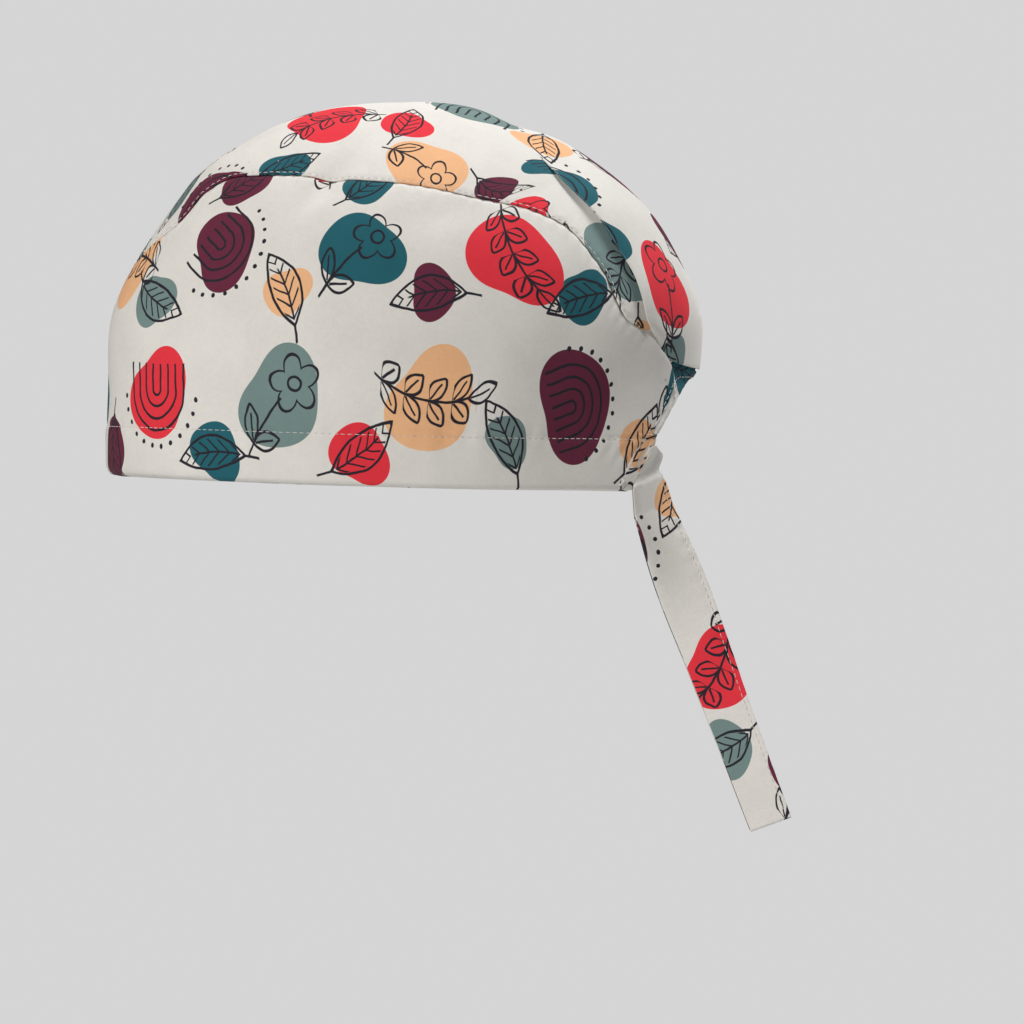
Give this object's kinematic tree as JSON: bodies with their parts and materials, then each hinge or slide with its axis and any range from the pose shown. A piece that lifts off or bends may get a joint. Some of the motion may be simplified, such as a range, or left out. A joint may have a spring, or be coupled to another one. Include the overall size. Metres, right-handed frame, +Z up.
{
  "type": "surgical scrub cap",
  "caption": "Cloth scrub cap: fitted panel round brow and sides with a turned-up hem, crown with a pleated pouch at the back, arched back opening and long flat ties.",
  "frame": {"origin": "middle of the rim opening at the level of the rim's rear end, where the wearer's head fills the cap", "axes": "-Y to the brow, +X to the wearer's left, +Z up to the crown"},
  "size_m": [0.1622, 0.274, 0.2915],
  "materials": {
    "crown_cloth": "matt printed woven cotton blend",
    "side_cloth": "matt printed woven cotton blend",
    "band_cloth": "matt printed woven cotton blend, in shade",
    "tie_cloth": "matt printed woven cotton blend, folded and stitched"
  },
  "bodies": {
    "root": {"crown_panel": "crown_cloth", "side_panel": "side_cloth", "back_band": "band_cloth", "tie_left": "tie_cloth", "tie_right": "tie_cloth"}
  },
  "joints": []
}
